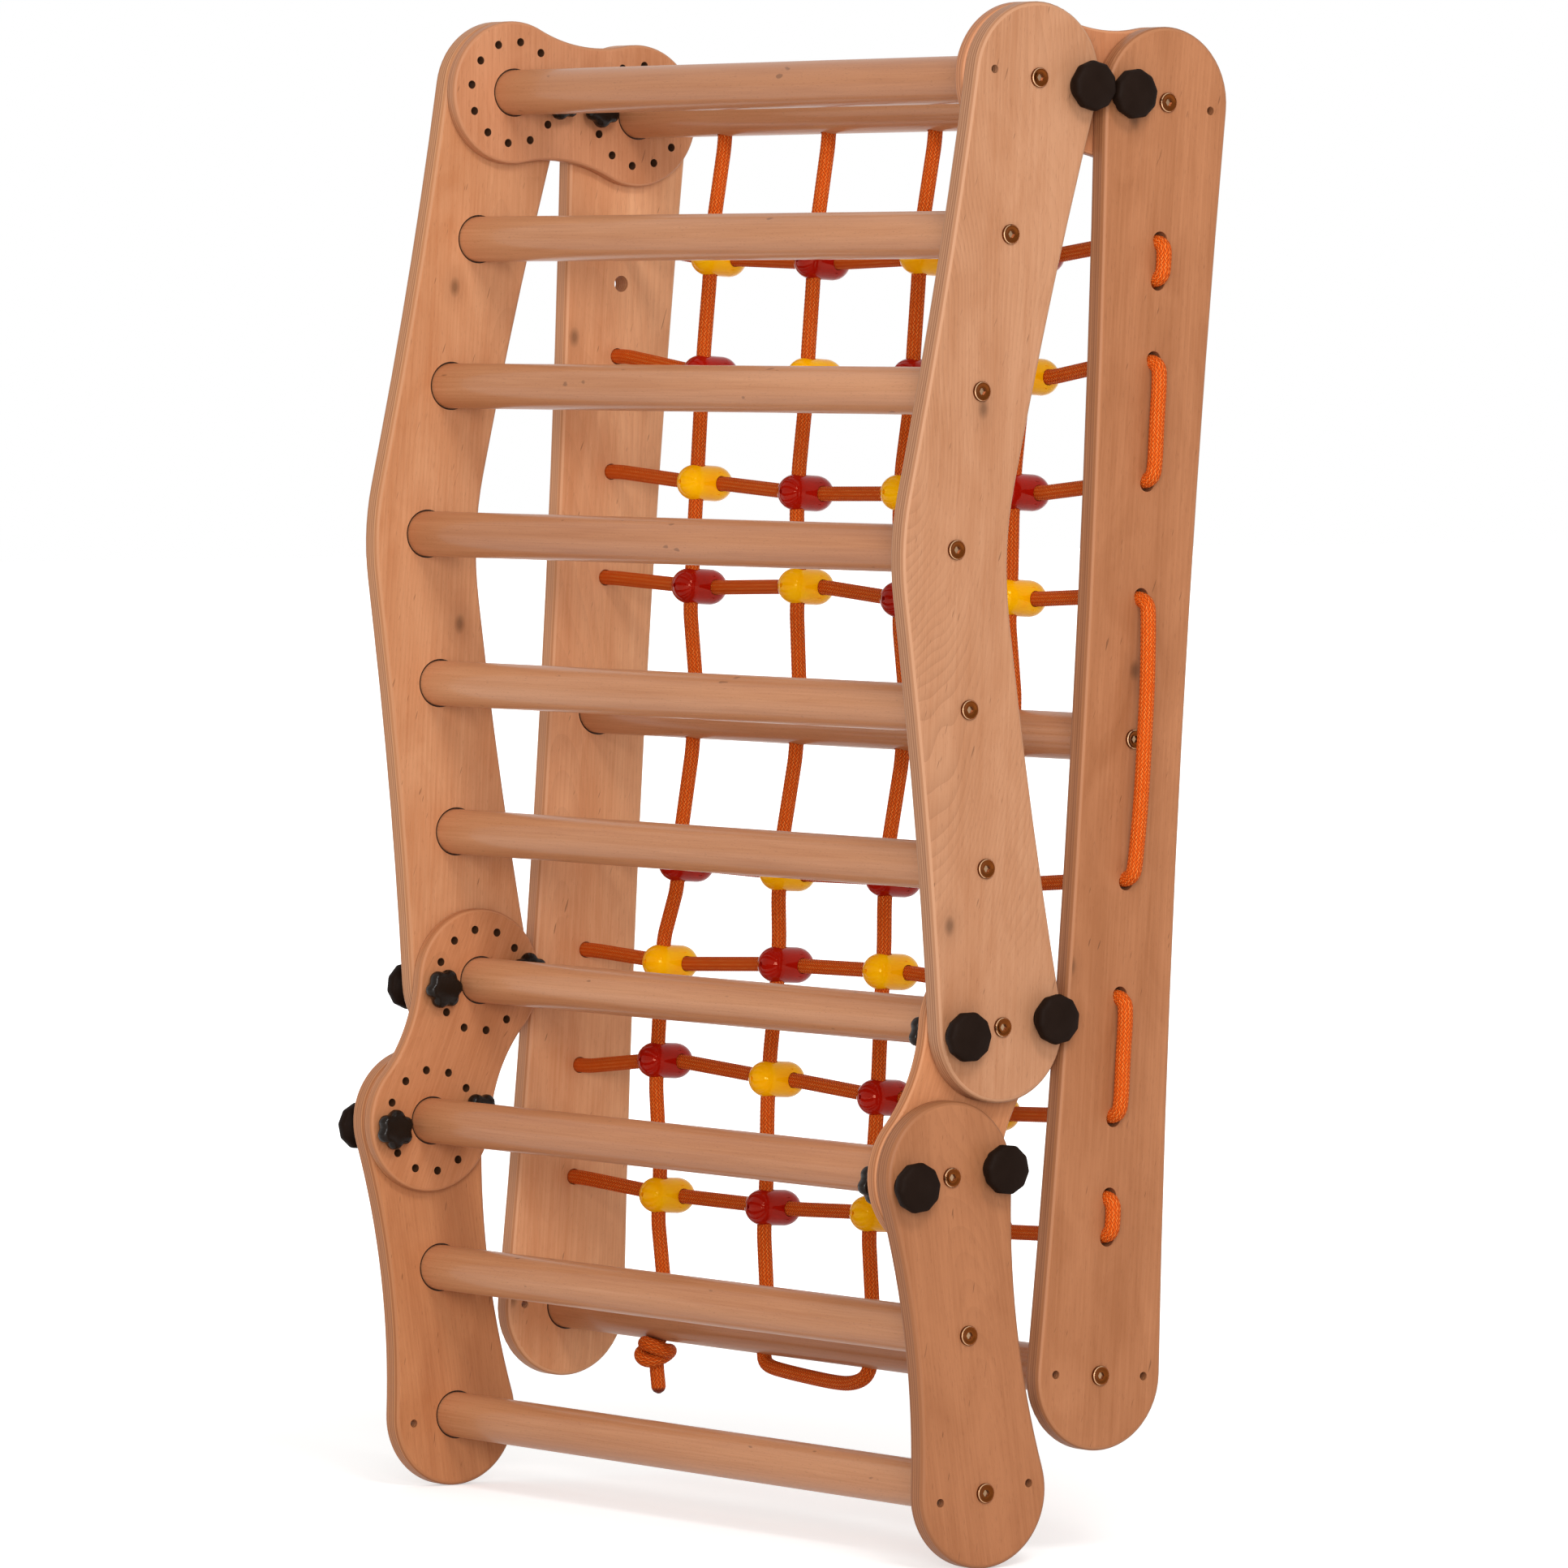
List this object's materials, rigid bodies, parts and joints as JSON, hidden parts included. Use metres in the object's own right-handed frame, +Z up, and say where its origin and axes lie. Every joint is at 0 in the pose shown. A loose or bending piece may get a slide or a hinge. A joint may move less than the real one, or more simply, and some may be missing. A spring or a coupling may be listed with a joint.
{
  "type": "climbing triangle",
  "caption": "Folding wooden climbing triangle with a kinked rung ladder, a hinged lower ladder and a beaded rope net on its rear ladder, folded for storage.",
  "frame": {"origin": "middle of the width and depth, on the floor under the front feet", "axes": "+X along the rungs to the right side panel, +Y to the rear, +Z up"},
  "size_m": [0.794, 0.3134, 1.1722],
  "materials": {
    "panel_plywood": "clear matt lacquer",
    "link_plywood": "clear matt lacquer",
    "rung_beech": "clear matt lacquer",
    "bronzed_steel": "bronzed",
    "insert_steel": "plain",
    "orange_rope": "braided",
    "yellow_bead": "glossy",
    "red_bead": "glossy",
    "outer_knob_black": "matt",
    "star_knob_black": "glossy"
  },
  "bodies": {
    "upper_ladder": {"upper_panel_left": "panel_plywood", "upper_panel_right": "panel_plywood", "upper_rung_1": "rung_beech", "upper_rung_2": "rung_beech", "upper_rung_3": "rung_beech", "upper_rung_4": "rung_beech", "upper_rung_5": "rung_beech", "upper_rung_bolts": "bronzed_steel", "upper_rung_inserts": "insert_steel"},
    "top_link": {"top_link_plate_left": "link_plywood", "top_link_plate_right": "link_plywood", "top_front_rung": "rung_beech", "top_front_pivot_fixings": "bronzed_steel"},
    "rear_ladder": {"rear_panel_left": "panel_plywood", "rear_panel_right": "panel_plywood", "top_rear_rung": "rung_beech", "rear_rung_middle": "rung_beech", "rear_rung_bottom": "rung_beech", "rear_ladder_bolts": "bronzed_steel", "rear_ladder_inserts": "insert_steel", "upright_rope": "orange_rope", "cross_rope": "orange_rope", "yellow_rope_beads": "yellow_bead", "red_rope_beads": "red_bead"},
    "mid_link": {"mid_link_plate_left": "link_plywood", "mid_link_plate_right": "link_plywood", "mid_link_rung_upper": "rung_beech", "mid_link_rung_lower": "rung_beech", "mid_link_pivot_fixings": "bronzed_steel"},
    "lower_ladder": {"lower_panel_left": "panel_plywood", "lower_panel_right": "panel_plywood", "lower_rung_1": "rung_beech", "lower_rung_2": "rung_beech", "lower_rung_bolts": "bronzed_steel", "lower_rung_inserts": "insert_steel"},
    "outer_knob_top_front_left": {"outer_knob_top_front_left": "outer_knob_black"},
    "star_knob_top_front_left": {"star_knob_top_front_left": "star_knob_black"},
    "outer_knob_top_front_right": {"outer_knob_top_front_right": "outer_knob_black"},
    "star_knob_top_front_right": {"star_knob_top_front_right": "star_knob_black"},
    "outer_knob_top_rear_left": {"outer_knob_top_rear_left": "outer_knob_black"},
    "star_knob_top_rear_left": {"star_knob_top_rear_left": "star_knob_black"},
    "outer_knob_top_rear_right": {"outer_knob_top_rear_right": "outer_knob_black"},
    "star_knob_top_rear_right": {"star_knob_top_rear_right": "star_knob_black"},
    "outer_knob_mid_upper_front_left": {"outer_knob_mid_upper_front_left": "outer_knob_black"},
    "star_knob_mid_upper_front_left": {"star_knob_mid_upper_front_left": "star_knob_black"},
    "outer_knob_mid_upper_front_right": {"outer_knob_mid_upper_front_right": "outer_knob_black"},
    "star_knob_mid_upper_front_right": {"star_knob_mid_upper_front_right": "star_knob_black"},
    "outer_knob_mid_upper_rear_left": {"outer_knob_mid_upper_rear_left": "outer_knob_black"},
    "star_knob_mid_upper_rear_left": {"star_knob_mid_upper_rear_left": "star_knob_black"},
    "outer_knob_mid_upper_rear_right": {"outer_knob_mid_upper_rear_right": "outer_knob_black"},
    "star_knob_mid_upper_rear_right": {"star_knob_mid_upper_rear_right": "star_knob_black"},
    "outer_knob_mid_lower_front_left": {"outer_knob_mid_lower_front_left": "outer_knob_black"},
    "star_knob_mid_lower_front_left": {"star_knob_mid_lower_front_left": "star_knob_black"},
    "outer_knob_mid_lower_front_right": {"outer_knob_mid_lower_front_right": "outer_knob_black"},
    "star_knob_mid_lower_front_right": {"star_knob_mid_lower_front_right": "star_knob_black"},
    "outer_knob_mid_lower_rear_left": {"outer_knob_mid_lower_rear_left": "outer_knob_black"},
    "star_knob_mid_lower_rear_left": {"star_knob_mid_lower_rear_left": "star_knob_black"},
    "outer_knob_mid_lower_rear_right": {"outer_knob_mid_lower_rear_right": "outer_knob_black"},
    "star_knob_mid_lower_rear_right": {"star_knob_mid_lower_rear_right": "star_knob_black"}
  },
  "joints": [
    {"name": "top_front_hinge", "type": "hinge", "parent": "upper_ladder", "child": "top_link", "pos_m": [0, -0.01903, 1.11525], "axis": [1, 0, 0], "range_deg": [0, 120]},
    {"name": "top_rear_hinge", "type": "hinge", "parent": "top_link", "child": "rear_ladder", "pos_m": [0, 0.09972, 1.09792], "axis": [1, 0, 0], "range_deg": [0, 120]},
    {"name": "middle_upper_hinge", "type": "hinge", "parent": "upper_ladder", "child": "mid_link", "pos_m": [0, -0.05124, 0.40579], "axis": [1, 0, 0], "range_deg": [-60, 0]},
    {"name": "middle_lower_hinge", "type": "hinge", "parent": "mid_link", "child": "lower_ladder", "pos_m": [0, -0.09736, 0.295], "axis": [1, 0, 0], "range_deg": [-120, 0]},
    {"name": "outer_knob_top_front_left_turn", "type": "hinge", "parent": "upper_ladder", "child": "outer_knob_top_front_left", "pos_m": [0, 0.02125, 1.10937], "axis": [1, 0, 0], "continuous": true},
    {"name": "star_knob_top_front_left_turn", "type": "hinge", "parent": "top_link", "child": "star_knob_top_front_left", "pos_m": [0, 0.02125, 1.10937], "axis": [1, 0, 0], "continuous": true},
    {"name": "outer_knob_top_front_right_turn", "type": "hinge", "parent": "upper_ladder", "child": "outer_knob_top_front_right", "pos_m": [0, 0.02125, 1.10937], "axis": [1, 0, 0], "continuous": true},
    {"name": "star_knob_top_front_right_turn", "type": "hinge", "parent": "top_link", "child": "star_knob_top_front_right", "pos_m": [0, 0.02125, 1.10937], "axis": [1, 0, 0], "continuous": true},
    {"name": "outer_knob_top_rear_left_turn", "type": "hinge", "parent": "rear_ladder", "child": "outer_knob_top_rear_left", "pos_m": [0, 0.05944, 1.1038], "axis": [1, 0, 0], "continuous": true},
    {"name": "star_knob_top_rear_left_turn", "type": "hinge", "parent": "top_link", "child": "star_knob_top_rear_left", "pos_m": [0, 0.05944, 1.1038], "axis": [1, 0, 0], "continuous": true},
    {"name": "outer_knob_top_rear_right_turn", "type": "hinge", "parent": "rear_ladder", "child": "outer_knob_top_rear_right", "pos_m": [0, 0.05944, 1.1038], "axis": [1, 0, 0], "continuous": true},
    {"name": "star_knob_top_rear_right_turn", "type": "hinge", "parent": "top_link", "child": "star_knob_top_rear_right", "pos_m": [0, 0.05944, 1.1038], "axis": [1, 0, 0], "continuous": true},
    {"name": "outer_knob_mid_upper_front_left_turn", "type": "hinge", "parent": "upper_ladder", "child": "outer_knob_mid_upper_front_left", "pos_m": [0, -0.0916, 0.40054], "axis": [1, 0, 0], "continuous": true},
    {"name": "star_knob_mid_upper_front_left_turn", "type": "hinge", "parent": "mid_link", "child": "star_knob_mid_upper_front_left", "pos_m": [0, -0.0916, 0.40054], "axis": [1, 0, 0], "continuous": true},
    {"name": "outer_knob_mid_upper_front_right_turn", "type": "hinge", "parent": "upper_ladder", "child": "outer_knob_mid_upper_front_right", "pos_m": [0, -0.0916, 0.40054], "axis": [1, 0, 0], "continuous": true},
    {"name": "star_knob_mid_upper_front_right_turn", "type": "hinge", "parent": "mid_link", "child": "star_knob_mid_upper_front_right", "pos_m": [0, -0.0916, 0.40054], "axis": [1, 0, 0], "continuous": true},
    {"name": "outer_knob_mid_upper_rear_left_turn", "type": "hinge", "parent": "upper_ladder", "child": "outer_knob_mid_upper_rear_left", "pos_m": [0, -0.01088, 0.41103], "axis": [1, 0, 0], "continuous": true},
    {"name": "star_knob_mid_upper_rear_left_turn", "type": "hinge", "parent": "mid_link", "child": "star_knob_mid_upper_rear_left", "pos_m": [0, -0.01088, 0.41103], "axis": [1, 0, 0], "continuous": true},
    {"name": "outer_knob_mid_upper_rear_right_turn", "type": "hinge", "parent": "upper_ladder", "child": "outer_knob_mid_upper_rear_right", "pos_m": [0, -0.01088, 0.41103], "axis": [1, 0, 0], "continuous": true},
    {"name": "star_knob_mid_upper_rear_right_turn", "type": "hinge", "parent": "mid_link", "child": "star_knob_mid_upper_rear_right", "pos_m": [0, -0.01088, 0.41103], "axis": [1, 0, 0], "continuous": true},
    {"name": "outer_knob_mid_lower_front_left_turn", "type": "hinge", "parent": "lower_ladder", "child": "outer_knob_mid_lower_front_left", "pos_m": [0, -0.13772, 0.28976], "axis": [1, 0, 0], "continuous": true},
    {"name": "star_knob_mid_lower_front_left_turn", "type": "hinge", "parent": "mid_link", "child": "star_knob_mid_lower_front_left", "pos_m": [0, -0.13772, 0.28976], "axis": [1, 0, 0], "continuous": true},
    {"name": "outer_knob_mid_lower_front_right_turn", "type": "hinge", "parent": "lower_ladder", "child": "outer_knob_mid_lower_front_right", "pos_m": [0, -0.13772, 0.28976], "axis": [1, 0, 0], "continuous": true},
    {"name": "star_knob_mid_lower_front_right_turn", "type": "hinge", "parent": "mid_link", "child": "star_knob_mid_lower_front_right", "pos_m": [0, -0.13772, 0.28976], "axis": [1, 0, 0], "continuous": true},
    {"name": "outer_knob_mid_lower_rear_left_turn", "type": "hinge", "parent": "lower_ladder", "child": "outer_knob_mid_lower_rear_left", "pos_m": [0, -0.057, 0.30024], "axis": [1, 0, 0], "continuous": true},
    {"name": "star_knob_mid_lower_rear_left_turn", "type": "hinge", "parent": "mid_link", "child": "star_knob_mid_lower_rear_left", "pos_m": [0, -0.057, 0.30024], "axis": [1, 0, 0], "continuous": true},
    {"name": "outer_knob_mid_lower_rear_right_turn", "type": "hinge", "parent": "lower_ladder", "child": "outer_knob_mid_lower_rear_right", "pos_m": [0, -0.057, 0.30024], "axis": [1, 0, 0], "continuous": true},
    {"name": "star_knob_mid_lower_rear_right_turn", "type": "hinge", "parent": "mid_link", "child": "star_knob_mid_lower_rear_right", "pos_m": [0, -0.057, 0.30024], "axis": [1, 0, 0], "continuous": true}
  ]
}
